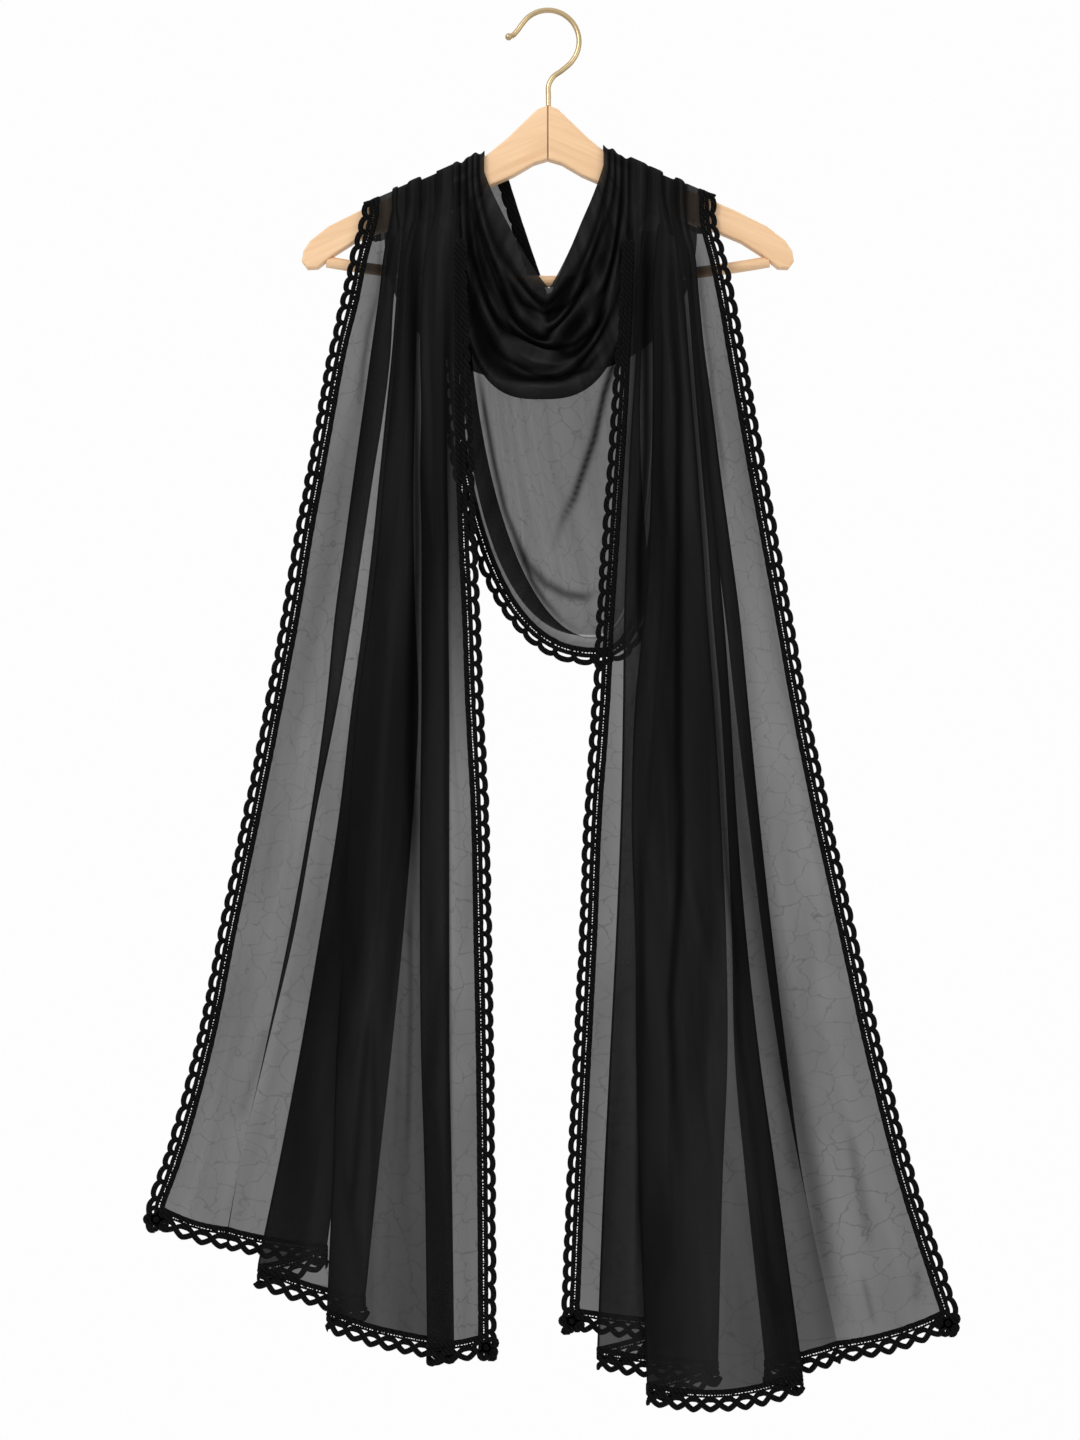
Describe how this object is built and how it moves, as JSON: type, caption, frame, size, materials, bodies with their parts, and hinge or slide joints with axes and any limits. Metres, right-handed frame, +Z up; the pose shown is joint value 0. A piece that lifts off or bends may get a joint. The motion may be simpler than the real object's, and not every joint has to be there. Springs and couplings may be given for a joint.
{
  "type": "dupatta stole draped on a wooden hanger",
  "caption": "Long sheer black stole with scalloped lace edging, draped as a neck wrap with pleated tails over a wooden hanger with a hook and trouser bar.",
  "frame": {"origin": "inner top of the hanger's hook loop, where it rests on a rod", "axes": "+Z up, +X to the right seen from the front, the front of the wrap faces -Y"},
  "size_m": [0.6968, 0.066, 1.2037],
  "materials": {
    "chiffon": "sheer crinkled chiffon, black",
    "lace": "black crochet lace",
    "wood": "clear satin lacquer on pale beech",
    "brass": "aged bright brass wire"
  },
  "bodies": {
    "root": {"hanger_hook": "brass", "hanger_arm_left": "wood", "hanger_arm_right": "wood", "hanger_bar": "wood", "tail_left": "chiffon", "tail_right": "chiffon", "cowl": "chiffon", "drape_lower": "chiffon", "back_swag_left": "chiffon", "back_swag_right": "chiffon", "lace_left_outer": "lace", "lace_left_inner": "lace", "lace_left_hem": "lace", "lace_right_outer": "lace", "lace_right_inner": "lace", "lace_right_hem": "lace", "lace_drape": "lace"}
  },
  "joints": []
}
